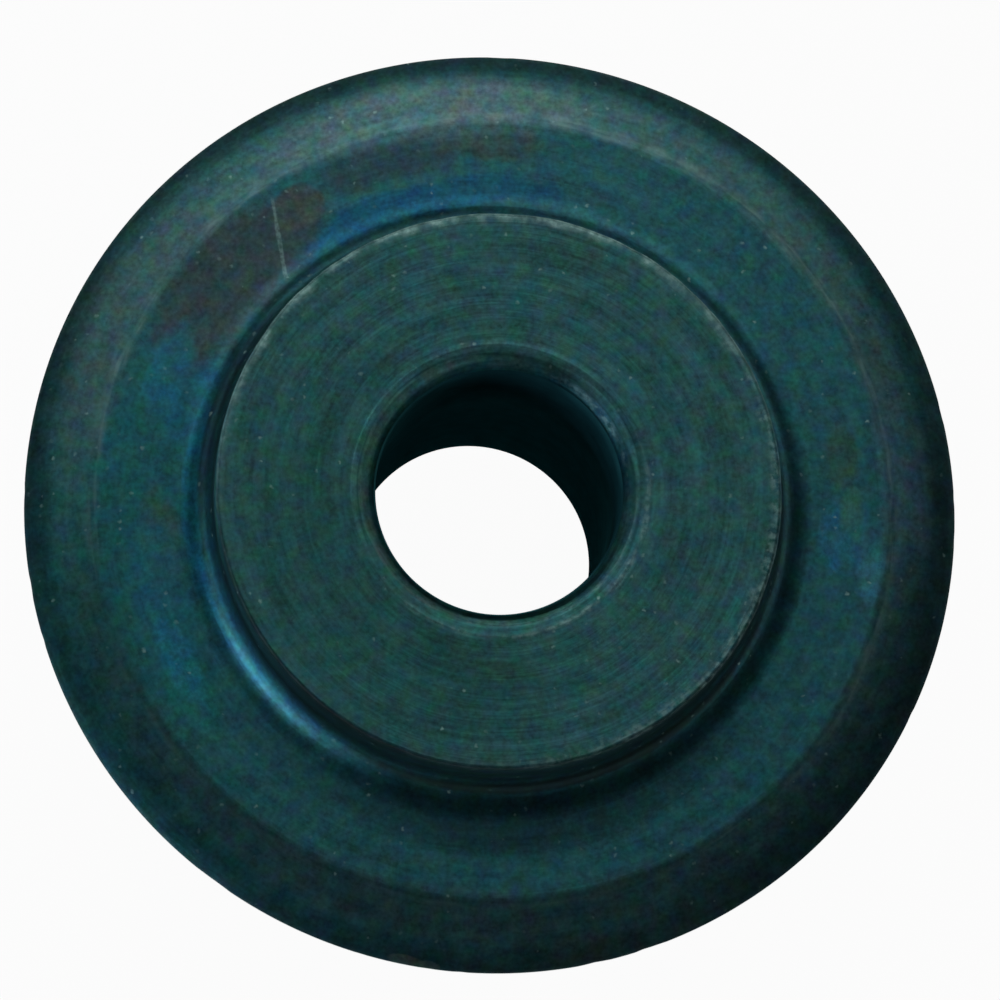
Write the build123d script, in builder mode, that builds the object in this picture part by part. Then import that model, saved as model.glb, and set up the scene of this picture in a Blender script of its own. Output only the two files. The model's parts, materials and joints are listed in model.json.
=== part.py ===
from build123d import *
import os
from math import isclose

# Cutting wheel of a tube cutter, turned from one piece of tool steel.
# Sizes are millimetres. The axis of the bore is Z, and the origin lies on it in the
# plane of the cutting edge. +Z points out of the short end of the hub.

# Bore, sized to the pin that the wheel spins on
pin_diameter = 4.76
pin_running_gap = 0.04
bore_radius = (pin_diameter + pin_running_gap) / 2

# Hub, a plain collar that stands further out on the back than on the front
hub_wall = 3.15
front_hub_reach = 2.25
rear_hub_reach = 5.75
hub_radius = bore_radius + hub_wall

# Blade, from the hub wall out to the cutting edge
blade_reach = 3.65
bevel_width = 1.40
crown_width = 0.58
edge_radius = hub_radius + blade_reach
ridge_radius = edge_radius - bevel_width
crown_radius = edge_radius - crown_width

# Thickness of the blade at four places on its way out
root_thickness = 1.20
ridge_thickness = 1.00
crown_thickness = 0.56
edge_land = 0.05

# Small forms left by the turning tool
root_fillet = 0.80
ridge_rounding = 0.70
rim_chamfer = 0.12
mouth_chamfer = 0.26
mouth_relief_width = 0.24
mouth_relief_depth = 0.04
relief_radius = bore_radius + mouth_chamfer + mouth_relief_width


def mouth_height(hub_reach):
    """Distance from the cutting plane to the floor of the relief round the bore's mouth."""
    return hub_reach - mouth_relief_depth


def wall_height(hub_reach):
    """Distance from the cutting plane to where the bore's straight wall ends."""
    return mouth_height(hub_reach) - mouth_chamfer


def draw_side(side, hub_reach):
    """Draws one side of the section, from the end of the bore's wall to the cutting edge."""
    Polyline(
        (bore_radius, side * wall_height(hub_reach)),
        (bore_radius + mouth_chamfer, side * mouth_height(hub_reach)),
        (relief_radius, side * mouth_height(hub_reach)),
        (relief_radius, side * hub_reach),
        (hub_radius, side * hub_reach),
        (hub_radius, side * root_thickness / 2),
        (ridge_radius, side * ridge_thickness / 2),
    )
    bevel = Line(
        (ridge_radius, side * ridge_thickness / 2),
        (crown_radius, side * crown_thickness / 2),
    )
    TangentArc(
        bevel @ 1,
        (edge_radius, side * edge_land / 2),
        tangent=bevel % 1,
    )


def corners_at(section, radius):
    """Corners of the section at one radius, from the back of the wheel to the front."""
    at_radius = section.vertices().filter_by(
        lambda corner: isclose(corner.X, radius, abs_tol=1e-6)
    )
    return at_radius.sort_by(Axis.Y)


with BuildPart() as cutter_wheel:
    # The whole section on one side of the axis: the bevel falls straight from the ridge,
    # then bends over in a crown down to the narrow land of the worn cutting edge.
    with BuildSketch(Plane.XZ) as turned_section:
        with BuildLine() as outline:
            draw_side(1, front_hub_reach)
            draw_side(-1, rear_hub_reach)
            Line(
                (bore_radius, wall_height(front_hub_reach)),
                (bore_radius, -wall_height(rear_hub_reach)),
            )
            Line((edge_radius, edge_land / 2), (edge_radius, -edge_land / 2))
        make_face()
        fillet(corners_at(turned_section, ridge_radius), radius=ridge_rounding)

        # The corners on the hub's wall are the back rim, the two roots of the blade and the
        # front rim. Both roots are rounded, and both rims are broken.
        fillet(corners_at(turned_section, hub_radius)[1:3], radius=root_fillet)
        wall_corners = corners_at(turned_section, hub_radius)
        chamfer([wall_corners[0], wall_corners[-1]], length=rim_chamfer)
    revolve(axis=Axis.Z)

cutter_wheel.part.label = "cutter_wheel"

os.makedirs("parts", exist_ok=True)
export_step(cutter_wheel.part, "parts/cutter_wheel.step")
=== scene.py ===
import json
import logging
import math
from dataclasses import dataclass, replace
from enum import Enum

import bpy
from mathutils import Matrix, Vector


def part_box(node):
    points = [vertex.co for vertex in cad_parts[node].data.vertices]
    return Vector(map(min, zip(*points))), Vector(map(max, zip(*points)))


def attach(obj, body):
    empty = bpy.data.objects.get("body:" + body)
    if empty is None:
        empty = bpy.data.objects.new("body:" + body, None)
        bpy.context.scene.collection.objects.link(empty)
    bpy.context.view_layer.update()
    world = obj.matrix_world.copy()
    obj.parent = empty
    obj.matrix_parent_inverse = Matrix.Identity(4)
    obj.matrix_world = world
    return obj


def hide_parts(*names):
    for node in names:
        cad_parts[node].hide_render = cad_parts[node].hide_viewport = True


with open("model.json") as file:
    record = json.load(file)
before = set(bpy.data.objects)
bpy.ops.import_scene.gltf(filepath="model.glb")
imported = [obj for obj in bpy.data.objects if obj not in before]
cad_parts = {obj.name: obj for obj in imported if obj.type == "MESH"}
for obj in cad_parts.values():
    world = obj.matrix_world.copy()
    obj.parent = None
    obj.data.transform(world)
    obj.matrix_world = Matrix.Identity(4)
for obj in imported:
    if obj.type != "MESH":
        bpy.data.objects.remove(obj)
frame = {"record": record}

# Looks of a tube cutter's cutting wheel: turned tool steel with a blued, black-oxide finish.
# Everything is in metres. The wheel's axis is Z, the cutting edge lies in the plane Z = 0,
# and +Z points out of the short end of the hub, the end that the photograph shows.

LOG = logging.getLogger("cutter_wheel")
MM = 0.001
PATH_ATTRIBUTE = "tool_path"
NODE_NAME = "cutter_wheel"

Node = bpy.types.Node

# Kinds of node that the trees below use most.
MATH, VECTOR_MATH = "ShaderNodeMath", "ShaderNodeVectorMath"
MAP_RANGE, NOISE = "ShaderNodeMapRange", "ShaderNodeTexNoise"

# Sockets of a Mix node that mixes colours, which has others of the same names.
MIX_SHARE, MIX_UNDER, MIX_OVER = 0, 6, 7

# Keeps the part of a vector that lies in the plane of the cutting edge.
IN_PLANE = (1.0, 1.0, 0.0)

# Where a stretch of values starts and ends, and what its start and its end become.
Ramp = tuple[float, float, float, float]


class Side(Enum):
    """The two sides of the blade."""

    FRONT = 1
    REAR = -1


class Wear(Enum):
    """How the pale steel breaks up along a rubbed corner and along its painted highlight."""

    GRAINY = "in small specks"
    STREAKY = "in streaks along the corner"


class NodeGraph:
    """A node tree that is being filled."""

    def __init__(self, tree: bpy.types.NodeTree) -> None:
        """Starts from an empty tree.

        Args:
            tree: the tree to fill; its old nodes are removed.
        """
        self.tree = tree
        tree.nodes.clear()

    def add(
        self, kind: str, inputs: dict | None = None, operation: str = "", **settings: object
    ) -> Node:
        """Adds a node with its settings and links.

        Args:
            kind: the node's type name.
            inputs: socket name or number to a plain value, or to the node or socket that feeds it.
            operation: what a math node does, or nothing for other nodes.
            settings: the node's own properties.

        Returns:
            The new node.
        """
        node = self.tree.nodes.new(kind)
        if operation:
            node.operation = operation
        for name, value in settings.items():
            setattr(node, name, value)
        for key, value in (inputs or {}).items():
            source = value
            if isinstance(value, Node):
                source = next(socket for socket in value.outputs if socket.enabled)
            if isinstance(source, bpy.types.NodeSocket):
                self.tree.links.new(source, node.inputs[key])
            else:
                node.inputs[key].default_value = source
        return node


def linear(hex_colour: str) -> tuple[float, float, float, float]:
    """Turns an sRGB hex colour into linear light.

    Args:
        hex_colour: six hex digits after a hash sign.

    Returns:
        Red, green, blue and a full alpha.
    """
    channels = []
    for start in (1, 3, 5):
        value = int(hex_colour[start:start + 2], 16) / 255
        channels.append(value / 12.92 if value <= 0.04045 else ((value + 0.055) / 1.055) ** 2.4)
    return (*channels, 1.0)


@dataclass(frozen=True)
class WheelSizes:
    """Sizes of the turned wheel. Thicknesses are those of the whole blade."""

    bore_radius: float
    edge_radius: float
    front_reach: float
    rear_reach: float
    hub_radius: float = 5.55 * MM
    bevel_width: float = 1.40 * MM
    crown_width: float = 0.58 * MM
    root_thickness: float = 1.20 * MM
    ridge_thickness: float = 1.00 * MM
    crown_thickness: float = 0.56 * MM
    edge_land: float = 0.05 * MM
    root_fillet: float = 0.80 * MM
    ridge_rounding: float = 0.70 * MM
    rim_rounding: float = 0.08 * MM
    wall_rounding: float = 0.34 * MM
    mouth_rounding: float = 0.30 * MM
    relief_rounding: float = 0.20 * MM
    land_rounding: float = 0.006 * MM
    crown_share: float = 0.985
    mouth_chamfer: float = 0.26 * MM
    relief_width: float = 0.24 * MM
    relief_depth: float = 0.04 * MM

    @classmethod
    def from_frame(cls, record: dict) -> "WheelSizes":
        """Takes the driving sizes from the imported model.

        Args:
            record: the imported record, whose bore mount states the bore.

        Returns:
            The sizes of the wheel.
        """
        low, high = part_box(NODE_NAME)
        bore = next(mount for mount in record["mounts"] if mount["name"] == "bore")
        return cls(
            bore_radius=bore["dims"]["r_mm"] * MM,
            edge_radius=high.x,
            front_reach=high.z,
            rear_reach=-low.z,
        )

    @property
    def ridge_radius(self) -> float:
        """Radius of the ridge between the flank and the bevel."""
        return self.edge_radius - self.bevel_width

    @property
    def crown_radius(self) -> float:
        """Radius at which the bevel starts to bend over into the crown."""
        return self.edge_radius - self.crown_width

    def reach(self, side: Side) -> float:
        """Distance from the cutting plane to the hub's end on one side."""
        return self.front_reach if side is Side.FRONT else self.rear_reach


@dataclass(frozen=True)
class Corner:
    """A corner of the section, and the straight run that leaves it."""

    radius: float
    height: float
    rounding: float = 0.0
    arc_steps: int = 3
    run_steps: int = 1


class TurnedSection:
    """The closed outline that the lathe turns into the wheel."""

    FRONT_WALL_STEPS = 8
    REAR_WALL_STEPS = 14

    def __init__(self, sizes: WheelSizes) -> None:
        """Keeps the sizes.

        Args:
            sizes: sizes of the wheel.
        """
        self.sizes = sizes

    def crown_corner(self) -> tuple[float, float, float]:
        """Works out the corner that the crown's arc rounds off.

        Returns:
            The corner's radius and height, and the arc's own radius, a little short so that it
            stays clear of the arcs beside it. The arc starts along the bevel and ends at the
            land of the cutting edge.
        """
        s = self.sizes
        start = Vector((s.crown_radius, s.crown_thickness / 2))
        end = Vector((s.edge_radius, s.edge_land / 2))
        ridge = Vector((s.ridge_radius, s.ridge_thickness / 2))
        along_bevel = (start - ridge).normalized()
        chord = end - start
        half_turn = along_bevel.angle(chord)
        tangent = chord.length / 2 / math.cos(half_turn)
        corner = start + along_bevel * tangent
        return corner.x, corner.y, chord.length / 2 / math.sin(half_turn) * s.crown_share

    def side_corners(self, side: Side) -> list[Corner]:
        """Lists one side's corners.

        Args:
            side: the side of the blade.

        Returns:
            The corners from the bore's wall out to the cutting edge. The front has more steps,
            because the photograph's camera looks at it.
        """
        s = self.sizes
        up = side.value
        end = s.reach(side)
        fine = 2 if side is Side.FRONT else 1
        crown_radius, crown_height, crown_rounding = self.crown_corner()
        mouth = end - s.relief_depth
        chamfer = s.bore_radius + s.mouth_chamfer
        return [
            Corner(s.bore_radius, up * (mouth - s.mouth_chamfer), s.wall_rounding, 6, 2),
            Corner(chamfer, up * mouth, s.mouth_rounding, 6, 3),
            Corner(chamfer + s.relief_width, up * end, s.relief_rounding, 3, 20 * fine),
            Corner(s.hub_radius, up * end, s.rim_rounding, 6, 10),
            Corner(s.hub_radius, up * s.root_thickness / 2, s.root_fillet, 10, 14 * fine),
            Corner(s.ridge_radius, up * s.ridge_thickness / 2, s.ridge_rounding, 5, 6 * fine),
            Corner(crown_radius, up * crown_height, crown_rounding, 9 * fine, 1),
            Corner(s.edge_radius, up * s.edge_land / 2, s.land_rounding, 2, 2),
        ]

    def corners(self) -> list[Corner]:
        """Lists all the corners once round the section.

        Returns:
            The corners, up the front side from the bore and back down the rear side. The runs
            belong to the corner that they leave, so the rear side's are passed back by one.
        """
        front = self.side_corners(Side.FRONT)
        rear = self.side_corners(Side.REAR)
        wall = Corner(self.sizes.bore_radius, 0.0, run_steps=self.FRONT_WALL_STEPS)
        runs = [self.REAR_WALL_STEPS, *(corner.run_steps for corner in rear)]
        back = [replace(corner, run_steps=steps) for corner, steps in zip(rear, runs)]
        return [wall, *front, *reversed(back)]

    def points(self) -> list[Vector]:
        """Rounds the corners and spaces points on the runs between them.

        Returns:
            The points of the closed section, in order.
        """
        corners = self.corners()
        places = [Vector((corner.radius, corner.height)) for corner in corners]
        arcs = []
        for index, corner in enumerate(corners):
            here = places[index]
            to_last = (places[index - 1] - here).normalized()
            to_next = (places[(index + 1) % len(places)] - here).normalized()
            arcs.append(self.round_off(here, to_last, to_next, corner))
        points = []
        for index, corner in enumerate(corners):
            points.extend(arcs[index])
            start = arcs[index][-1]
            end = arcs[(index + 1) % len(arcs)][0]
            for step in range(1, corner.run_steps):
                # The spacing narrows towards both ends, so that the shading stays flat there.
                share = (1 - math.cos(math.pi * step / corner.run_steps)) / 2
                points.append(start.lerp(end, share))
        return points

    @staticmethod
    def round_off(here: Vector, to_last: Vector, to_next: Vector, corner: Corner) -> list[Vector]:
        """Turns one corner into the points of its arc.

        Args:
            here: the corner's place.
            to_last: direction back to the corner before it.
            to_next: direction on to the corner after it.
            corner: the corner, which states its rounding.

        Returns:
            The arc's points, or the corner itself where it has no rounding.
        """
        if corner.rounding == 0.0:
            return [here]
        half = to_last.angle(to_next) / 2
        tangent = corner.rounding / math.tan(half)
        centre = here + (to_last + to_next).normalized() * corner.rounding / math.sin(half)
        first = here + to_last * tangent - centre
        last = here + to_next * tangent - centre
        steps = corner.arc_steps
        return [
            centre + first.slerp(last, step / steps) * corner.rounding for step in range(steps + 1)
        ]

    def build(self) -> bpy.types.Object:
        """Makes the section as a ring of edges.

        Returns:
            An object whose points are measured out from the bore's wall in X and down the axis
            in Y, as the lathe's nodes need them. Each point carries its distance along the
            tool's path.
        """
        points = self.points()
        mesh = bpy.data.meshes.new("section")
        count = len(points)
        verts = [(point.x - self.sizes.bore_radius, -point.y, 0.0) for point in points]
        mesh.from_pydata(verts, [(i, (i + 1) % count) for i in range(count)], [])
        path = mesh.attributes.new(PATH_ATTRIBUTE, "FLOAT", "POINT")
        travelled = 0.0
        for index, point in enumerate(points):
            if index:
                travelled += (point - points[index - 1]).length
            path.data[index].value = travelled
        section = bpy.data.objects.new("section", mesh)
        bpy.context.scene.collection.objects.link(section)
        return section


class LatheTree:
    """Geometry Nodes that turn the section round the axis and mark the steel."""

    NUMBERS = (
        "Bore Radius", "Edge Radius", "Hub Radius", "Hub Reach", "Tool Mark Pitch",
        "Tool Mark Depth", "Nick Size", "Nick Depth", "Rim Wear Size", "Rim Wear Depth",
        "Bore Finish Reach", "Seed",
    )
    INPUTS = {
        **dict.fromkeys(NUMBERS, "NodeSocketFloat"),
        "Steps Around": "NodeSocketInt",
        "Wheel Finish": "NodeSocketMaterial",
        "Bore Finish": "NodeSocketMaterial",
    }
    EDGE_BAND = 0.35 * MM
    BITTEN = {"From Min": 0.60, "From Max": 0.78}
    RIM_BAND = {"From Min": 0.04 * MM, "From Max": 0.40 * MM, "To Min": 1.0, "To Max": 0.0}
    RIM_WORN = {"From Min": 0.35, "From Max": 0.70}

    def __init__(self) -> None:
        """Makes the node group, its inputs and its nodes."""
        self.tree = bpy.data.node_groups.new("turned_on_a_lathe", "GeometryNodeTree")
        self.graph = NodeGraph(self.tree)
        interface = self.tree.interface
        interface.new_socket("Geometry", in_out="INPUT", socket_type="NodeSocketGeometry")
        interface.new_socket("Geometry", in_out="OUTPUT", socket_type="NodeSocketGeometry")
        self.sockets = {
            name: interface.new_socket(name, in_out="INPUT", socket_type=kind).identifier
            for name, kind in self.INPUTS.items()
        }
        self.fill()

    def fill(self) -> None:
        """Adds the nodes: turn, tool marks, nicks, and the two finishes."""
        g = self.graph
        given = g.add("NodeGroupInput").outputs
        section = g.add("GeometryNodeMeshToCurve", {"Mesh": given["Geometry"]})
        round_bore = {"Resolution": given["Steps Around"], "Radius": given["Bore Radius"]}
        circle = g.add("GeometryNodeCurvePrimitiveCircle", round_bore, mode="RADIUS")
        turned = g.add("GeometryNodeCurveToMesh", {"Curve": circle, "Profile Curve": section})

        # Tool marks are rings, so they follow the distance along the tool's path. They only
        # cut in, which keeps the wheel inside its true size.
        path = g.add("GeometryNodeInputNamedAttribute", {"Name": PATH_ATTRIBUTE}, data_type="FLOAT")
        path = path.outputs["Attribute"]
        turns = g.add(MATH, {0: path, 1: given["Tool Mark Pitch"]}, "DIVIDE")
        turns = g.add(MATH, {0: turns, 1: given["Seed"]}, "ADD")
        rings = g.add(NOISE, {"W": turns, "Scale": 1.0, "Detail": 2.0}, noise_dimensions="1D")
        rings = rings.outputs[0]
        cut = g.add(MATH, {0: rings, 1: given["Tool Mark Depth"]}, "MULTIPLY")
        cut = g.add(MATH, {0: cut, 1: -1.0}, "MULTIPLY")
        normal = g.add("GeometryNodeInputNormal")
        cut = g.add(VECTOR_MATH, {0: normal, "Scale": cut}, "SCALE").outputs["Vector"]
        marked = g.add("GeometryNodeSetPosition", {"Geometry": turned, "Offset": cut})

        # Nicks push short stretches of the cutting edge back towards the axis.
        place = g.add("GeometryNodeInputPosition")
        flat = g.add(VECTOR_MATH, {0: place, 1: IN_PLANE}, "MULTIPLY")
        radius = g.add(VECTOR_MATH, {0: flat}, "LENGTH").outputs["Value"]
        edge = given["Edge Radius"]
        inner = g.add(MATH, {0: edge, 1: self.EDGE_BAND}, "SUBTRACT")
        band = {"Value": radius, "From Min": inner, "From Max": edge}
        near_edge = g.add(MAP_RANGE, band, interpolation_type="SMOOTHSTEP")
        cell = g.add(MATH, {0: 1.0, 1: given["Nick Size"]}, "DIVIDE")
        sockets = {"Vector": flat, "Scale": cell, "Detail": 1.0, "W": given["Seed"]}
        dents = g.add(NOISE, sockets, noise_dimensions="4D").outputs[0]
        bitten = g.add(MAP_RANGE, {"Value": dents, **self.BITTEN})
        depth = g.add(MATH, {0: bitten, 1: near_edge}, "MULTIPLY")
        depth = g.add(MATH, {0: depth, 1: given["Nick Depth"]}, "MULTIPLY")

        # The rim of the hub that the photograph shows is worn a little unevenly as well.
        off_rim = g.add(MATH, {0: given["Hub Radius"], 1: radius}, "SUBTRACT")
        off_rim = g.add(MATH, {0: off_rim}, "ABSOLUTE")
        below = g.add("ShaderNodeSeparateXYZ", {"Vector": place}).outputs["Z"]
        below = g.add(MATH, {0: given["Hub Reach"], 1: below}, "SUBTRACT")
        off_rim = g.add(MATH, {0: off_rim, 1: below}, "ADD")
        band = {"Value": off_rim, **self.RIM_BAND}
        near_rim = g.add(MAP_RANGE, band, interpolation_type="SMOOTHSTEP")
        cell = g.add(MATH, {0: 1.0, 1: given["Rim Wear Size"]}, "DIVIDE")
        worn = g.add(NOISE, {"Vector": flat, "Scale": cell, "Detail": 2.0}).outputs[0]
        worn = g.add(MAP_RANGE, {"Value": worn, **self.RIM_WORN})
        worn = g.add(MATH, {0: worn, 1: near_rim}, "MULTIPLY")
        worn = g.add(MATH, {0: worn, 1: given["Rim Wear Depth"]}, "MULTIPLY")
        depth = g.add(MATH, {0: depth, 1: worn}, "ADD")
        outward = g.add(VECTOR_MATH, {0: flat}, "NORMALIZE")
        depth = g.add(MATH, {0: depth, 1: -1.0}, "MULTIPLY")
        push = g.add(VECTOR_MATH, {0: outward, "Scale": depth}, "SCALE").outputs["Vector"]
        nicked = g.add("GeometryNodeSetPosition", {"Geometry": marked, "Offset": push})

        smooth = g.add("GeometryNodeSetShadeSmooth", {"Geometry": nicked, "Shade Smooth": True})
        real = g.add("GeometryNodeRealizeInstances", {"Geometry": smooth})
        finish = {"Geometry": real, "Material": given["Wheel Finish"]}
        dressed = g.add("GeometryNodeSetMaterial", finish)
        bore, reach = given["Bore Radius"], given["Bore Finish Reach"]
        wall = g.add(MATH, {0: bore, 1: reach}, "ADD")
        in_bore = g.add(MATH, {0: radius, 1: wall}, "LESS_THAN")
        finish = {"Geometry": dressed, "Selection": in_bore, "Material": given["Bore Finish"]}
        dressed = g.add("GeometryNodeSetMaterial", finish)
        g.add("NodeGroupOutput", {"Geometry": dressed})


@dataclass(frozen=True)
class Patch:
    """A patch of another colour on the steel, placed by its angle and radius.

    The angle is in degrees. The radius and the reach along and across the ring are in
    millimetres. The outline is as ragged as its noise is strong, and fades over the soft band.
    """

    colour: str
    angle: float
    radius: float
    along: float
    across: float
    strength: float
    ragged: float = 2.2
    soft: float = 0.8


@dataclass(frozen=True)
class WornAndLitRing:
    """A pale corner of the turned steel, partly rubbed bare and partly painted highlight, most on
    the side that an angle gives, where the light falls.

    The radius and the width are in millimetres, and the angle is in degrees.
    """

    radius: float
    width: float
    angle: float
    most: float
    least: float
    evenness: float = 0.15
    wear: Wear = Wear.GRAINY


@dataclass(frozen=True)
class Scratch:
    """A straight pale scratch, from one place to another in the wheel's plane."""

    start: tuple[float, float]
    end: tuple[float, float]
    width: float
    strength: float


class Places:
    """Places on the wheel, as a material tells them apart."""

    def __init__(self, g: NodeGraph) -> None:
        """Adds the nodes that every mark starts from.

        Args:
            g: the material's graph.
        """
        self.g = g
        self.place = g.add("ShaderNodeTexCoord").outputs["Object"]
        self.height = g.add("ShaderNodeSeparateXYZ", {"Vector": self.place}).outputs["Z"]
        self.flat = g.add(VECTOR_MATH, {0: self.place, 1: IN_PLANE}, "MULTIPLY")
        self.out = g.add(VECTOR_MATH, {0: self.flat}, "NORMALIZE")

    def grain(self, size: float, detail: float) -> Node:
        """Adds an even grain.

        Args:
            size: size of a grain.
            detail: how many finer layers it has.

        Returns:
            Noise about 0.5.
        """
        return self.g.add(NOISE, {"Vector": self.place, "Scale": 1 / size, "Detail": detail})

    def ramp(self, value: object, start: float, end: float, low: float, high: float) -> Node:
        """Maps a stretch of values onto another, and holds its ends.

        Args:
            value: the value to map.
            start: where the stretch starts.
            end: where the stretch ends.
            low: result at the start.
            high: result at the end.

        Returns:
            The mapped value.
        """
        limits = {"From Min": start, "From Max": end, "To Min": low, "To Max": high}
        return self.g.add(MAP_RANGE, {"Value": value, **limits})

    def toward(self, side: float) -> Node:
        """Tells how far a place faces one side of the wheel.

        Args:
            side: the side's angle round the axis, in degrees.

        Returns:
            1 on that side, 0 a quarter turn away and -1 opposite.
        """
        angle = math.radians(side)
        way = (math.cos(angle), math.sin(angle), 0.0)
        return self.g.add(VECTOR_MATH, {0: self.out, 1: way}, "DOT_PRODUCT")


class TurnedSurface(Places):
    """The turned steel, and the marks that follow its rings."""

    RAGGED_SIZE = 0.45 * MM
    RAGGED_SPAN = (0.3, 0.7)
    SIDE_SPAN = (0.0, 0.8)
    HUB_MIDDLE = -1.75 * MM
    HUB_ENDS: Ramp = (3.70 * MM, 3.86 * MM, 0.0, 1.0)
    OFF_HUB: Ramp = (5.60 * MM, 6.00 * MM, 0.0, 1.0)
    CLEARNESS: Ramp = (5.50 * MM, 5.60 * MM, 0.85, 0.45)
    SCRATCH_BREAKS: Ramp = (0.35, 0.6, 0.3, 1.0)
    SCRATCH_ENDS = (0.4, 0.5)

    def __init__(self, g: NodeGraph) -> None:
        """Adds the nodes that the marks share.

        Args:
            g: the material's graph.
        """
        super().__init__(g)
        self.path = g.add("ShaderNodeAttribute", attribute_name=PATH_ATTRIBUTE).outputs["Fac"]
        self.radius = g.add(VECTOR_MATH, {0: self.flat}, "LENGTH")
        self.ragged = self.grain(self.RAGGED_SIZE, 4.0)

        # Only corners are rubbed and carry painted highlight, so on the hub's wall both stay close
        # to its two ends.
        off = g.add(MATH, {0: self.height, 1: self.HUB_MIDDLE}, "SUBTRACT")
        off = g.add(MATH, {0: off}, "ABSOLUTE")
        at_end = self.ramp(off, *self.HUB_ENDS)
        off_hub = self.ramp(self.radius, *self.OFF_HUB)
        self.at_corners = g.add(MATH, {0: at_end, 1: off_hub}, "MAXIMUM")

        # The tool's rings are clear on the hub's face and fainter on the blade.
        self.clearness = self.ramp(self.radius, *self.CLEARNESS)

    def rings(self, pitch: float, spread: float, detail: float) -> Node:
        """Adds rings that follow the tool's path and fade in and out around the wheel.

        Args:
            pitch: distance from ring to ring.
            spread: how fast a ring changes on its way round.
            detail: how many finer layers it has.

        Returns:
            Noise about 0.5.
        """
        g = self.g
        turns = g.add(MATH, {0: self.path, 1: pitch}, "DIVIDE")
        around = g.add(VECTOR_MATH, {0: self.out, "Scale": spread}, "SCALE")
        up = g.add("ShaderNodeCombineXYZ", {"Z": turns})
        where = g.add(VECTOR_MATH, {0: around, 1: up}, "ADD")
        return g.add(NOISE, {"Vector": where, "Scale": 1.0, "Detail": detail})

    def patch(self, patch: Patch) -> Node:
        """Adds the ragged outline of a patch.

        Args:
            patch: the patch.

        Returns:
            How much of the patch shows, 0 to 1.
        """
        g = self.g
        angle, radius = math.radians(patch.angle), patch.radius * MM
        centre = (math.cos(angle) * radius, math.sin(angle) * radius, 0.0)
        offset = g.add(VECTOR_MATH, {0: self.flat, 1: centre}, "DISTANCE").outputs["Value"]
        along = g.add(MATH, {0: offset, 1: patch.along * MM}, "DIVIDE")
        along = g.add(MATH, {0: along, 1: along}, "MULTIPLY")
        across = g.add(MATH, {0: self.radius, 1: radius}, "SUBTRACT")
        across = g.add(MATH, {0: across, 1: patch.across * MM}, "DIVIDE")
        far = g.add(MATH, {0: across, 1: across, 2: along}, "MULTIPLY_ADD")
        rim = 1 + patch.ragged / 2
        far = g.add(MATH, {0: self.ragged, 1: patch.ragged, 2: far}, "MULTIPLY_ADD")
        return self.ramp(far, rim - patch.soft / 2, rim + patch.soft / 2, patch.strength, 0.0)

    def ring(self, ring: WornAndLitRing) -> Node:
        """Adds the place of a corner that is rubbed and carries painted highlight.

        Args:
            ring: the corner.

        Returns:
            How much it is rubbed and lit, 0 to 1.
        """
        g = self.g
        width = ring.width * MM
        off = g.add(MATH, {0: self.radius, 1: ring.radius * MM}, "SUBTRACT")
        off = g.add(MATH, {0: off}, "ABSOLUTE")
        wander = self.ramp(self.ragged, *self.RAGGED_SPAN, -0.5 * width, 0.5 * width)
        off = g.add(MATH, {0: off, 1: wander}, "ADD")
        near = self.ramp(off, 0.0, width, 1.0, 0.0)
        near = g.add(MATH, {0: near, 1: near}, "MULTIPLY")
        near = g.add(MATH, {0: near, 1: self.at_corners}, "MULTIPLY")
        share = self.ramp(self.toward(ring.angle), *self.SIDE_SPAN, ring.least, ring.most)
        return g.add(MATH, {0: near, 1: share}, "MULTIPLY")

    def scratch(self, scratch: Scratch, grain: Node) -> Node:
        """Adds a straight scratch that the grain breaks up.

        Args:
            scratch: the scratch.
            grain: the finest grain.

        Returns:
            How much of the scratch shows, 0 to 1.
        """
        g = self.g
        start = Vector((*scratch.start, 0.0))
        run = Vector((*scratch.end, 0.0)) - start
        along = run.normalized()
        side = Vector((-along.y, along.x, 0.0))
        off = g.add(VECTOR_MATH, {0: self.flat, 1: start}, "SUBTRACT")
        travel = g.add(VECTOR_MATH, {0: off, 1: along}, "DOT_PRODUCT")
        from_middle = g.add(MATH, {0: travel, 1: run.length / 2}, "SUBTRACT")
        from_middle = g.add(MATH, {0: from_middle}, "ABSOLUTE")
        away = g.add(VECTOR_MATH, {0: off, 1: side}, "DOT_PRODUCT")
        away = g.add(MATH, {0: away}, "ABSOLUTE")
        wander = self.ramp(self.ragged, *self.RAGGED_SPAN, 0.0, scratch.width)
        away = g.add(MATH, {0: away, 1: wander}, "SUBTRACT")
        line = self.ramp(away, 0.0, scratch.width, scratch.strength, 0.0)
        fading, gone = (run.length * share for share in self.SCRATCH_ENDS)
        ends = self.ramp(from_middle, fading, gone, 1.0, 0.0)
        broken = self.ramp(grain, *self.SCRATCH_BREAKS)
        share = g.add(MATH, {0: line, 1: ends}, "MULTIPLY")
        return g.add(MATH, {0: share, 1: broken}, "MULTIPLY")


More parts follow.
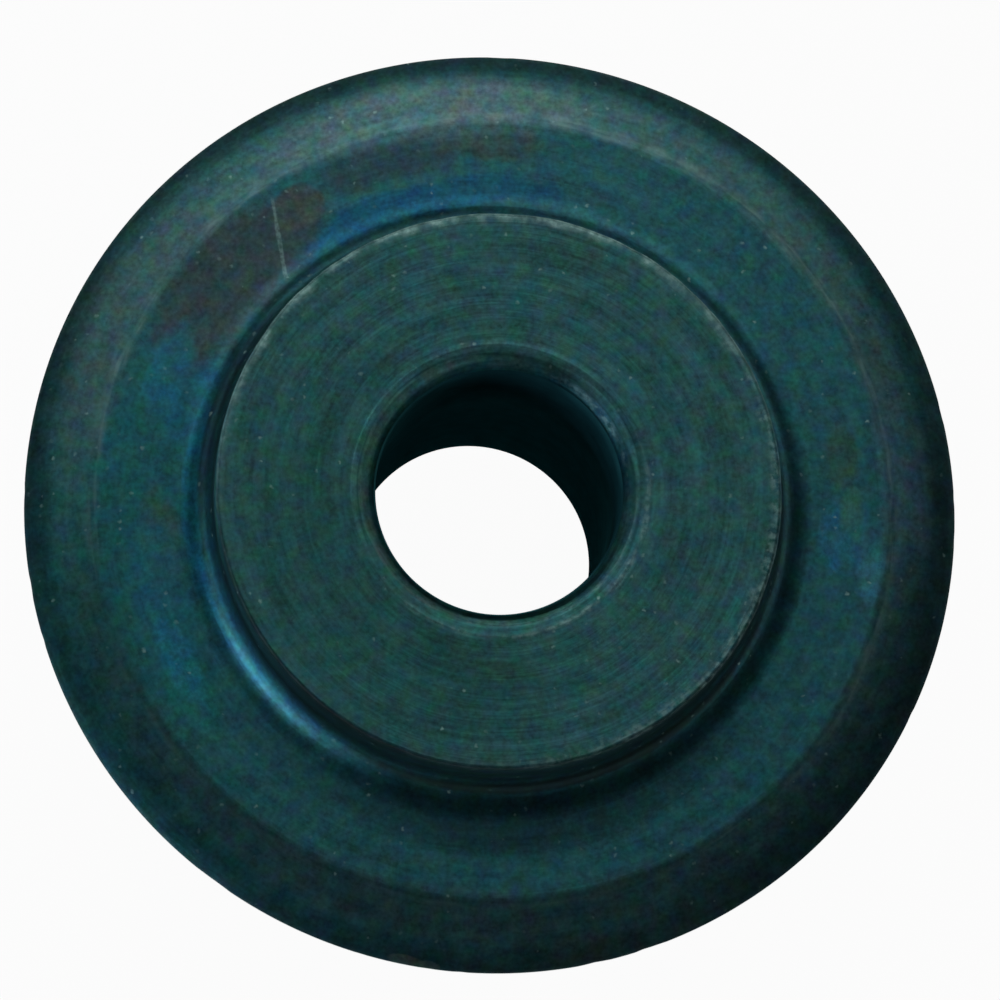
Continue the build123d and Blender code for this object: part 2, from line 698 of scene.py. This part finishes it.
@dataclass(frozen=True)
class RootShade:
    """Painted shade down the hub's wall and, on one side, in the whole root of the blade."""

    shaded_root_side: float = 305.0
    on_shaded_root_side: Ramp = (0.34, 0.60, 0.0, 1.0)
    shaded_side: float = 280.0
    up_to_rim: Ramp = (0.1, 0.6, 0.0, 1.0)
    off_face: Ramp = (5.46 * MM, 5.52 * MM, 0.0, 1.0)
    below_rim: Ramp = (1.30 * MM, 2.00 * MM, 1.0, 0.0)
    on_front: Ramp = (-0.70 * MM, -0.40 * MM, 0.3, 1.0)
    wall: Ramp = (5.56 * MM, 5.72 * MM, 0.7, 0.0)
    root: Ramp = (5.75 * MM, 6.35 * MM, 0.48, 0.0)

    def build(self, surface: TurnedSurface) -> Node:
        """Adds the painted shade.

        Args:
            surface: places on the steel.

        Returns:
            A factor that is low under the painted shade and 1 elsewhere.
        """
        g = surface.g
        below_rim = surface.ramp(surface.height, *self.below_rim)
        up_to_rim = surface.ramp(surface.toward(self.shaded_side), *self.up_to_rim)
        below_rim = g.add(MATH, {0: below_rim, 1: up_to_rim}, "MAXIMUM")
        on_shaded_root_side = surface.ramp(surface.toward(self.shaded_root_side), *self.on_shaded_root_side)
        root = surface.ramp(surface.radius, *self.root)
        root = g.add(MATH, {0: root, 1: on_shaded_root_side}, "MULTIPLY")
        wall = surface.ramp(surface.radius, *self.wall)
        share = g.add(MATH, {0: wall, 1: root}, "MAXIMUM")
        off_face = surface.ramp(surface.radius, *self.off_face)
        on_front = surface.ramp(surface.height, *self.on_front)
        for limit in (off_face, below_rim, on_front):
            share = g.add(MATH, {0: share, 1: limit}, "MULTIPLY")
        return surface.ramp(share, 0.0, 1.0, 1.0, 0.0)


# Temper colours, stains and thin skin, with patches of painted light and painted shade, from the
# blade in to the bore's mouth.
TINTS = (
    # Bluer over the left of the flank.
    Patch("#156468", 176, 6.9, 4.4, 1.2, 0.55, 1.0, 1.2),
    # Temper colours and stains on the flank.
    Patch("#3E5E50", 187, 6.60, 1.1, 0.40, 0.7, 2.0, 1.0),
    Patch("#324F58", 106, 7.20, 1.5, 0.45, 0.8, 1.4, 1.0),
    Patch("#445856", 90, 7.33, 1.0, 0.34, 0.65, 2.2, 0.9),
    Patch("#175F80", 110, 6.32, 2.4, 0.34, 0.9),
    Patch("#1B5F7C", 92, 6.42, 1.7, 0.28, 0.8),
    Patch("#20667E", 160, 6.40, 1.0, 0.6, 0.8),
    Patch("#3B555A", 138.5, 6.90, 2.2, 1.0, 1.0, 1.2, 0.6),
    Patch("#455A58", 122.6, 7.10, 0.54, 0.80, 1.0, 0.8, 0.5),
    Patch("#226C7E", 194, 6.75, 1.4, 0.6, 0.7),
    Patch("#1F746F", 211, 7.05, 0.9, 0.5, 0.7),
    Patch("#247E98", 206.5, 6.95, 0.9, 0.30, 0.7, 2.2, 1.0),
    Patch("#1F7086", 156.5, 6.95, 0.85, 0.45, 0.75, 2.4, 1.0),
    Patch("#3F6450", 8.5, 6.98, 0.65, 0.40, 0.6, 2.4, 1.0),
    Patch("#2C7492", 355.4, 6.95, 0.75, 0.50, 0.65, 2.4, 1.0),
    Patch("#3C8C9C", 350.8, 7.58, 0.60, 0.28, 0.7, 2.4, 1.0),
    Patch("#43885E", 359.3, 7.10, 0.50, 0.25, 0.45, 2.4, 1.0),
    # On the bevel and the crown: bluer on the left, then painted light and painted shade, with pale
    # patches at the top and left where the softbox falls, a few paler spots besides, and darker
    # patches along the bottom and lower right.
    Patch("#1E6668", 205, 8.35, 5.6, 0.9, 0.6, 0.8, 1.2),
    Patch("#5E8285", 98, 8.15, 2.8, 0.60, 0.8, 0.6, 1.4),
    Patch("#3D6163", 153, 8.30, 2.9, 0.65, 0.8, 0.6, 1.4),
    Patch("#345D64", 262, 8.14, 8.4, 0.44, 0.75, 0.5, 1.4),
    Patch("#2C5258", 333, 8.75, 5.6, 0.60, 0.85, 0.5, 1.4),
    Patch("#4C7688", 3, 8.20, 2.0, 0.50, 0.6, 0.6, 1.4),
    Patch("#4A6E70", 285, 8.95, 2.8, 0.30, 0.6, 0.6, 1.4),
    # Painted highlight and painted shade round the fillet's highlight from the blue fill: painted
    # light just outside it, a painted highlight further out on the left, a dark painted gap inside
    # that, a bluer band on its inner side, and painted shade over the glint on the rim.
    Patch("#41959F", 216, 6.13, 3.6, 0.17, 0.25, 0.4, 1.3),
    Patch("#2489A8", 180, 5.97, 2.4, 0.15, 0.75, 1.2, 1.2),
    Patch("#123846", 160, 5.76, 2.4, 0.10, 0.85, 0.4, 1.0),
    Patch("#1B6684", 207, 5.65, 3.0, 0.10, 0.55, 1.0, 1.0),
    Patch("#16363C", 216, 5.52, 3.0, 0.04, 0.85, 1.2, 1.0),
    # Painted shade in the root and across the flank along the bottom.
    Patch("#04201F", 288, 5.70, 4.4, 0.09, 0.8, 0.5, 1.0),
    Patch("#0E2126", 278, 6.45, 3.9, 0.50, 0.5, 0.5, 1.4),
    # Darker over the lower left of the hub's face.
    Patch("#245C58", 222, 3.90, 4.4, 1.60, 0.6, 0.5, 1.4),
    # Round the bore's mouth: pale marks on its rings, partly worn steel and partly painted
    # highlight; painted shade on the chamfer and between the rings along the bottom; a teal tint on
    # the chamfer where the blue fill glints.
    Patch("#66A4A0", 152, 2.66, 2.5, 0.11, 0.9, 0.7, 1.0),
    Patch("#4C8A8A", 156, 2.86, 2.2, 0.07, 0.8, 1.2, 1.2),
    Patch("#557C7C", 215, 2.62, 1.6, 0.09, 0.85, 0.5, 1.0),
    Patch("#041616", 285, 2.53, 2.4, 0.05, 0.6, 0.5, 0.8),
    Patch("#5E9C98", 275, 2.62, 1.2, 0.05, 0.8, 1.2, 1.0),
    Patch("#4C8488", 82, 2.88, 1.7, 0.13, 0.7, 2.0, 1.4),
    Patch("#4F9498", 34, 2.73, 1.3, 0.07, 0.85, 1.6, 1.0),
    Patch("#235456", 300, 2.78, 3.0, 0.035, 0.6, 0.6, 1.0),
    Patch("#0A5A66", 38, 2.50, 1.5, 0.13, 0.85, 1.6, 0.8),
    Patch("#7FA394", 258.8, 9.13, 0.34, 0.10, 0.6, 2.8),
    Patch("#7FA394", 261.8, 9.15, 0.22, 0.08, 0.6, 2.8),
)


@dataclass(frozen=True)
class BluedSteel:
    """Hot-blued tool steel over a turned surface.

    The oxide is a thin dark blue-green skin that follows every tool mark. It gives a broad soft
    sheen with a mottled hue, a paler one on the honed bevels, pale steel where the rims are
    rubbed, and a few temper colours. Painted highlights lie on the lit side of the rims and the
    ridge, and painted light and shade fall by side over the bevel, the crown, the root and the
    bore's mouth. The zones are the flank, the bevel and the crown. Tooling is given by its pitch,
    its spread round the wheel and its detail.
    """

    name: str = "hot_blued_turned_tool_steel"
    hub: str = "#34696B"
    zones: tuple[tuple[str, Ramp], ...] = (
        ("#2B6870", (5.50 * MM, 5.60 * MM, 0.0, 1.0)),
        ("#426F72", (7.70 * MM, 7.95 * MM, 0.0, 1.0)),
        ("#336B70", (8.40 * MM, 8.75 * MM, 0.0, 1.0)),
    )
    steel: str = "#97C0BC"
    roughness: Ramp = (0.3, 0.7, 0.40, 0.49)
    fillet_polish: Ramp = (6.0 * MM, 6.4 * MM, 0.78, 1.0)
    hub_face: Ramp = (5.50 * MM, 5.56 * MM, 1.0, 0.0)
    rim_starts: Ramp = (5.46 * MM, 5.51 * MM, 0.0, 1.0)
    rim_roughness: Ramp = (5.56 * MM, 5.66 * MM, 0.38, 0.0)
    tooling: tuple[float, float, float] = (0.10 * MM, 3.5, 1.0)
    fine_tooling: tuple[float, float, float] = (0.05 * MM, 2.0, 1.0)
    broad_tooling: tuple[float, float, float] = (0.42 * MM, 2.0, 1.0)
    grain_size: float = 0.09 * MM
    fleck_size: float = 0.30 * MM
    hue_drift: tuple[float, float, float] = (1.5, 0.9, 0.95)
    grain_share: float = 1.25
    cloud_share: float = 0.7
    shade: Ramp = (0.475, 1.475, 0.55, 1.45)
    # Painted shade on the crown; painted light and shade round the bore's mouth, by side.
    crown_shade: Ramp = (8.5 * MM, 9.15 * MM, 1.0, 0.5)
    fill_lit_side: float = 38.0
    mouth_light_and_shade: Ramp = (0.62, 0.92, 0.7, -0.6)
    mouth_ends: Ramp = (2.62 * MM, 2.70 * MM, 1.0, 0.0)
    # Painted shade on the hub's wall and, on one side, in the root.
    root_shade: RootShade = RootShade()
    mark_height: float = 0.0035 * MM
    grain_height: float = 0.6
    speck_pitch: float = 0.22 * MM
    speck_push: float = 0.10 * MM
    speck: Ramp = (0.05, 0.22, 0.65, 0.0)
    speck_lot: Ramp = (0.3, 1.0, 0.0, 1.0)
    speck_rarity: float = 4.0
    wear_grain: float = 0.12 * MM
    wear_streaks: tuple[float, float, float] = (0.16 * MM, 7.0, 2.0)
    wear_span: tuple[float, float] = (0.38, 0.62)
    patches: tuple[Patch, ...] = TINTS
    # Pale corners, partly rubbed bare and partly painted highlight, strongest where the light
    # falls: the hub's rims, the bore's mouth, the ridge and the cutting edge.
    rings: tuple[WornAndLitRing, ...] = (
        WornAndLitRing(5.51, 0.19, 98.0, 1.0, 0.04, 0.45),
        WornAndLitRing(5.45, 0.20, 345.0, 0.45, 0.05, 0.0),
        WornAndLitRing(2.54, 0.14, 42.0, 0.22, 0.0, 0.0),
        WornAndLitRing(2.92, 0.10, 300.0, 0.42, 0.0),
        WornAndLitRing(2.69, 0.06, 285.0, 0.25, 0.03),
        WornAndLitRing(7.94, 0.16, 20.0, 0.34, 0.10, 0.0, Wear.STREAKY),
        WornAndLitRing(7.84, 0.14, 115.0, 0.24, 0.0, 0.0, Wear.STREAKY),
        WornAndLitRing(9.18, 0.06, 115.0, 0.15, 0.1),
    )
    scratches: tuple[Scratch, ...] = (
        Scratch((-4.33 * MM, 6.24 * MM), (-4.04 * MM, 4.43 * MM), 0.03 * MM, 0.35),
    )

    def build(self) -> bpy.types.Material:
        """Makes the material.

        Returns:
            The finished material.
        """
        material = bpy.data.materials.new(self.name)
        material.use_nodes = True
        g = NodeGraph(material.node_tree)
        surface = TurnedSurface(g)
        tooling = surface.rings(*self.tooling)
        grain = surface.grain(self.grain_size, 2.0)
        colour = self.oxide(surface, tooling, grain)
        colour = self.bare_metal_and_highlights(surface, grain, colour)
        rough = surface.ramp(surface.ragged, *self.roughness)
        burnished = surface.ramp(surface.radius, *self.fillet_polish)
        on_hub = surface.ramp(surface.radius, *self.hub_face)
        burnished = g.add(MATH, {0: burnished, 1: on_hub}, "MAXIMUM")
        rough = g.add(MATH, {0: rough, 1: burnished}, "MULTIPLY")
        rim = surface.ramp(surface.radius, *self.rim_starts)
        off_wall = surface.ramp(surface.radius, *self.rim_roughness)
        rough = g.add(MATH, {0: rim, 1: off_wall, 2: rough}, "MULTIPLY_ADD")
        fine = surface.rings(*self.fine_tooling)
        height = g.add(MATH, {0: fine, 1: tooling}, "ADD")
        height = g.add(MATH, {0: height, 1: surface.clearness}, "MULTIPLY")
        height = g.add(MATH, {0: grain, 1: self.grain_height, 2: height}, "MULTIPLY_ADD")
        marks = {"Height": height, "Strength": 1.0, "Distance": self.mark_height}
        bump = g.add("ShaderNodeBump", marks)
        shader = g.add(
            "ShaderNodeBsdfPrincipled",
            {
                "Base Color": colour,
                "Metallic": 0.92,
                "Roughness": rough,
                "Normal": bump,
                "Coat Weight": 0.12,
                "Coat Roughness": 0.35,
            },
        )
        g.add("ShaderNodeOutputMaterial", {"Surface": shader})
        return material

    def oxide(self, surface: TurnedSurface, tooling: Node, grain: Node) -> Node:
        """Colours the oxide skin.

        Args:
            surface: places on the steel.
            tooling: rings left by the turning tool.
            grain: the finest grain.

        Returns:
            The skin's colour.
        """
        g = surface.g
        colour = linear(self.hub)
        layers = [(tone, surface.ramp(surface.radius, *starts)) for tone, starts in self.zones]
        layers += [(patch.colour, surface.patch(patch)) for patch in self.patches]
        for tone, share in layers:
            sockets = {MIX_SHARE: share, MIX_UNDER: colour, MIX_OVER: linear(tone)}
            colour = g.add("ShaderNodeMix", sockets, data_type="RGBA")

        # The hue drifts between blue, green and brown in flecks.
        flecks = surface.grain(self.fleck_size, 1.0).outputs["Color"]
        still = tuple(1 - drift / 2 for drift in self.hue_drift)
        drift = g.add(VECTOR_MATH, {0: flecks, 1: self.hue_drift, 2: still}, "MULTIPLY_ADD")
        colour = g.add(VECTOR_MATH, {0: colour, 1: drift}, "MULTIPLY")

        # Rings and grain change how dark the skin is.
        broad = surface.rings(*self.broad_tooling)
        shade = g.add(MATH, {0: tooling, 1: broad}, "ADD")
        shade = g.add(MATH, {0: shade, 1: -1.0}, "ADD")
        shade = g.add(MATH, {0: shade, 1: surface.clearness}, "MULTIPLY")
        for noise, share in ((grain, self.grain_share), (surface.ragged, self.cloud_share)):
            shade = g.add(MATH, {0: noise, 1: share, 2: shade}, "MULTIPLY_ADD")
        light = surface.ramp(shade, *self.shade)

        # Painted shade darkens the crown next to the cutting edge, the hub's wall and, on one side,
        # the root, and dims the side of the bore's mouth where the blue fill glints. Painted light
        # makes the rest of the mouth paler.
        crown = surface.ramp(surface.radius, *self.crown_shade)
        mouth = surface.ramp(surface.toward(self.fill_lit_side), *self.mouth_light_and_shade)
        near_mouth = surface.ramp(surface.radius, *self.mouth_ends)
        mouth = g.add(MATH, {0: mouth, 1: near_mouth, 2: 1.0}, "MULTIPLY_ADD")
        for dark in (crown, mouth, self.root_shade.build(surface)):
            light = g.add(MATH, {0: light, 1: dark}, "MULTIPLY")
        return g.add(VECTOR_MATH, {0: colour, "Scale": light}, "SCALE")

    def bare_metal_and_highlights(self, surface: TurnedSurface, grain: Node, colour: Node) -> Node:
        """Lets bare steel show where the skin is rubbed through, and paints highlights on the lit
        side of the rims.

        Args:
            surface: places on the steel.
            grain: the finest grain.
            colour: colour of the skin.

        Returns:
            The colour with rubbed rims, their painted highlights, and pale specks.
        """
        # Specks are of all shapes, so the cells that they come from are pushed about.
        g = surface.g
        push = surface.grain(self.speck_push, 1.0).outputs["Color"]
        sockets = {0: push, 1: (self.speck_push,) * 3, 2: surface.place}
        push = g.add(VECTOR_MATH, sockets, "MULTIPLY_ADD")
        cells = g.add("ShaderNodeTexVoronoi", {"Vector": push, "Scale": 1 / self.speck_pitch})
        speck = surface.ramp(cells.outputs["Distance"], *self.speck)
        lot = g.add("ShaderNodeSeparateColor", {0: cells.outputs["Color"]})
        drawn = surface.ramp(lot, *self.speck_lot)
        drawn = g.add(MATH, {0: drawn, 1: self.speck_rarity}, "POWER")
        bare = g.add(MATH, {0: speck, 1: drawn}, "MULTIPLY")
        worn = {
            Wear.GRAINY: surface.grain(self.wear_grain, 3.0),
            Wear.STREAKY: surface.rings(*self.wear_streaks),
        }
        marks = []
        # Each ring's pale mark is partly wear and partly painted highlight, strongest on its lit
        # side.
        for ring in self.rings:
            worn_and_lit = surface.ramp(worn[ring.wear], *self.wear_span, ring.evenness, 1.0)
            marks.append(g.add(MATH, {0: worn_and_lit, 1: surface.ring(ring)}, "MULTIPLY"))
        marks += [surface.scratch(scratch, grain) for scratch in self.scratches]
        for mark in marks:
            bare = g.add(MATH, {0: bare, 1: mark}, "MAXIMUM")
        sockets = {MIX_SHARE: bare, MIX_UNDER: colour, MIX_OVER: linear(self.steel)}
        return g.add("ShaderNodeMix", sockets, data_type="RGBA")


@dataclass(frozen=True)
class BoreSkinWithPaintedLight:
    """A matt dark oxide skin in the bore with no sheen to speak of, mottled with dust, with painted
    light on the side away from the blue fill, deeper down, and at the mouth on the side that the
    blue fill lights.
    """

    name: str = "bore_dark_skin_with_painted_light"
    colour: str = "#1C4448"
    dust_size: float = 0.4 * MM
    dust: Ramp = (0.0, 1.0, 0.7, 1.3)
    fill_lit_side: float = 32.0
    light_off_fill_side: Ramp = (-0.3, 0.45, 4.0, 1.0)
    light_in_depth: Ramp = (-0.95 * MM, 0.65 * MM, 3.4, 1.0)
    sheen_on_fill_side: Ramp = (0.70, 0.95, 0.0, 1.0)
    sheen_at_mouth: Ramp = (1.45 * MM, 1.99 * MM, 0.8, 1.8)

    def build(self) -> bpy.types.Material:
        """Makes the material.

        Returns:
            The finished material.
        """
        material = bpy.data.materials.new(self.name)
        material.use_nodes = True
        g = NodeGraph(material.node_tree)
        places = Places(g)
        light = places.ramp(places.grain(self.dust_size, 3.0), *self.dust)

        # Painted light: paler on the side away from the blue fill and deeper down, and brighter at
        # the mouth on the side that the blue fill lights.
        toward = places.toward(self.fill_lit_side)
        light_off_side = places.ramp(toward, *self.light_off_fill_side)
        light_deep_down = places.ramp(places.height, *self.light_in_depth)
        painted_sheen = places.ramp(toward, *self.sheen_on_fill_side)
        mouth = places.ramp(places.height, *self.sheen_at_mouth)
        painted_sheen = g.add(MATH, {0: painted_sheen, 1: mouth}, "MULTIPLY")
        painted_light = g.add(MATH, {0: light_off_side, 1: light_deep_down}, "MAXIMUM")
        painted_light = g.add(MATH, {0: painted_light, 1: painted_sheen}, "MAXIMUM")
        light = g.add(MATH, {0: light, 1: painted_light}, "MULTIPLY")
        base = linear(self.colour)[:3]
        colour = g.add(VECTOR_MATH, {0: base, "Scale": light}, "SCALE")
        shader = g.add(
            "ShaderNodeBsdfPrincipled",
            {"Base Color": colour, "Roughness": 0.9, "Specular IOR Level": 0.0},
        )
        g.add("ShaderNodeOutputMaterial", {"Surface": shader})
        return material


@dataclass(frozen=True)
class Wheel:
    """The cutter wheel, turned from its section."""

    sizes: WheelSizes
    steps_around: int = 348
    tool_mark_pitch: float = 0.22 * MM
    tool_mark_depth: float = 0.004 * MM
    nick_size: float = 0.6 * MM
    nick_depth: float = 0.025 * MM
    rim_wear_size: float = 0.70 * MM
    rim_wear_depth: float = 0.02 * MM
    bore_finish_share: float = 0.2
    seed: float = 11.0

    def build(self) -> bpy.types.Object:
        """Turns, marks and dresses the wheel.

        Returns:
            The finished piece, as a plain mesh at the origin.
        """
        section = TurnedSection(self.sizes).build()
        lathe = LatheTree()
        values = {
            "Bore Radius": self.sizes.bore_radius,
            "Edge Radius": self.sizes.edge_radius,
            "Steps Around": self.steps_around,
            "Tool Mark Pitch": self.tool_mark_pitch,
            "Tool Mark Depth": self.tool_mark_depth,
            "Nick Size": self.nick_size,
            "Nick Depth": self.nick_depth,
            "Hub Radius": self.sizes.hub_radius,
            "Hub Reach": self.sizes.front_reach,
            "Rim Wear Size": self.rim_wear_size,
            "Rim Wear Depth": self.rim_wear_depth,
            "Seed": self.seed,
            "Wheel Finish": BluedSteel().build(),
            "Bore Finish": BoreSkinWithPaintedLight().build(),
            "Bore Finish Reach": self.sizes.mouth_chamfer * self.bore_finish_share,
        }
        modifier = section.modifiers.new("lathe", "NODES")
        modifier.node_group = lathe.tree
        for name, value in values.items():
            modifier[lathe.sockets[name]] = value
        graph = bpy.context.evaluated_depsgraph_get()
        mesh = bpy.data.meshes.new_from_object(section.evaluated_get(graph), depsgraph=graph)
        mesh.name = "turned_wheel"
        bpy.data.objects.remove(section)
        wheel = bpy.data.objects.new("turned_wheel", mesh)
        bpy.context.scene.collection.objects.link(wheel)
        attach(wheel, "root")
        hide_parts(NODE_NAME)
        return wheel


@dataclass(frozen=True)
class SoftLight:
    """A flat soft light that faces the wheel."""

    name: str
    azimuth: float
    elevation: float
    distance: float
    width: float
    height: float
    radiance: float
    colour: str

    def build(self) -> bpy.types.Object:
        """Hangs the light.

        Returns:
            The light.
        """
        lamp = bpy.data.lights.new(self.name, "AREA")
        lamp.shape = "RECTANGLE"
        lamp.size = self.width
        lamp.size_y = self.height
        lamp.energy = self.radiance * math.pi * self.width * self.height
        lamp.color = linear(self.colour)[:3]
        azimuth, elevation = math.radians(self.azimuth), math.radians(self.elevation)
        level = math.cos(elevation)
        away = (math.cos(azimuth) * level, math.sin(azimuth) * level, math.sin(elevation))
        away = Vector(away)
        light = bpy.data.objects.new(self.name, lamp)
        light.location = away * self.distance
        light.rotation_euler = away.to_track_quat("Z", "Y").to_euler()
        bpy.context.scene.collection.objects.link(light)
        return light


@dataclass(frozen=True)
class Studio:
    """A pale floor and plain soft light."""

    floor_height: float
    floor_width: float = 1.6
    room: float = 0.055
    backdrop: float = 0.85
    backdrop_top: float = 0.04
    glow: float = 0.96
    paper: str = "#F4F4F4"
    lights: tuple[SoftLight, ...] = (
        SoftLight("softbox", 97.0, 54.0, 0.45, 0.54, 0.28, 1.08, "#FFFFFF"),
        SoftLight("overhead", 55.0, 83.0, 0.60, 0.24, 0.24, 0.36, "#FFFFFF"),
        SoftLight("blue_fill", 211.0, 17.0, 0.40, 0.22, 0.13, 4.3, "#DDE9FF"),
    )

    def build(self) -> None:
        """Lays the floor and hangs the lights."""
        self.lay_floor()
        for light in self.lights:
            light.build()
        self.build_room()

    def build_room(self) -> None:
        """Makes the room: a white backdrop up to just above the floor's far edge, then dim."""
        world = bpy.data.worlds.new("studio")
        world.use_nodes = True
        bpy.context.scene.world = world
        g = NodeGraph(world.node_tree)
        direction = g.add("ShaderNodeNewGeometry").outputs["Position"]
        height = g.add("ShaderNodeSeparateXYZ", {"Vector": direction}).outputs["Z"]
        above = g.add(MATH, {0: height, 1: self.backdrop_top}, "GREATER_THAN")
        levels = {"Value": above, "To Min": self.backdrop, "To Max": self.room}
        strength = g.add(MAP_RANGE, levels)
        sky = g.add("ShaderNodeBackground", {"Color": (1.0, 1.0, 1.0, 1.0), "Strength": strength})
        g.add("ShaderNodeOutputWorld", {"Surface": sky})

    def lay_floor(self) -> bpy.types.Object:
        """Lays the floor that the wheel stands on.

        Returns:
            The floor.
        """
        half = self.floor_width / 2
        mesh = bpy.data.meshes.new("floor")
        corners = [(-half, -half), (half, -half), (half, half), (-half, half)]
        mesh.from_pydata([(x, y, self.floor_height) for x, y in corners], [], [(0, 1, 2, 3)])
        floor = bpy.data.objects.new("floor", mesh)
        bpy.context.scene.collection.objects.link(floor)
        mesh.materials.append(self.floor_finish())
        return floor

    def floor_finish(self) -> bpy.types.Material:
        """Makes the white sweep: matt paper that glows a little to the camera, so it stays white.

        Returns:
            The finished material.
        """
        material = bpy.data.materials.new("white_paper_sweep")
        material.use_nodes = True
        g = NodeGraph(material.node_tree)
        ray = g.add("ShaderNodeLightPath").outputs
        seen = ray["Is Camera Ray"]
        for other in (ray["Is Glossy Ray"], ray["Is Transmission Ray"]):
            seen = g.add(MATH, {0: seen, 1: other}, "MAXIMUM")
        share = g.add(MATH, {0: seen, 1: self.glow}, "MULTIPLY")
        paper = g.add("ShaderNodeBsdfDiffuse", {"Color": linear(self.paper)})
        white = g.add("ShaderNodeEmission", {"Color": (1.0, 1.0, 1.0, 1.0), "Strength": 1.0})
        both = g.add("ShaderNodeMixShader", {0: share, 1: paper, 2: white})
        g.add("ShaderNodeOutputMaterial", {"Surface": both})
        return material


@dataclass(frozen=True)
class PhotoCamera:
    """The camera, set so that the wheel's circles fall where the photograph has them.

    Pixels are those of the photograph's frame, from its top left corner.
    """

    edge_radius: float
    frame_px: float = 1000.0
    wheel_px: tuple[float, float] = (490.7, 512.0)
    edge_px: float = 466.8
    tilt: float = 12.06
    lean: float = 22.2
    edge_radii_away: float = 25.0
    sensor: float = 36.0
    clip: tuple[float, float] = (0.01, 10.0)

    def build(self) -> bpy.types.Object:
        """Sets up the camera.

        Returns:
            The camera. It looks down, tipped so that the wheel's axis leans to the right of
            straight up in the picture.
        """
        data = bpy.data.cameras.new("photo_camera")
        data.sensor_width = self.sensor
        data.lens = self.edge_px * self.edge_radii_away * self.sensor / self.frame_px
        data.clip_start, data.clip_end = self.clip
        lean = math.radians(self.lean)
        hinge = Vector((math.cos(lean), -math.sin(lean), 0.0))
        tip = Matrix.Rotation(math.radians(self.tilt), 4, hinge)
        scale = self.edge_radius / self.edge_px
        middle = self.frame_px / 2
        right, down = (along - middle for along in self.wheel_px)
        distance = self.edge_radius * self.edge_radii_away
        wheel = Vector((right * scale, -down * scale, -distance))
        camera = bpy.data.objects.new("photo_camera", data)
        camera.matrix_world = tip @ Matrix.Translation(-wheel)
        bpy.context.scene.collection.objects.link(camera)
        bpy.context.scene.camera = camera
        return camera


def main() -> None:
    """Builds the camera, the wheel and the studio."""
    logging.basicConfig(level=logging.INFO, format="%(name)s: %(message)s")
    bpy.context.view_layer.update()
    bpy.context.scene.view_settings.view_transform = "Standard"

    sizes = WheelSizes.from_frame(frame["record"])
    PhotoCamera(sizes.edge_radius).build()
    wheel = Wheel(sizes).build()
    LOG.info("%s: %d faces", wheel.name, len(wheel.data.polygons))
    Studio(floor_height=-sizes.rear_reach).build()
    LOG.info("studio: floor at %.2f mm", -sizes.rear_reach / MM)


if __name__ == "__main__":
    main()
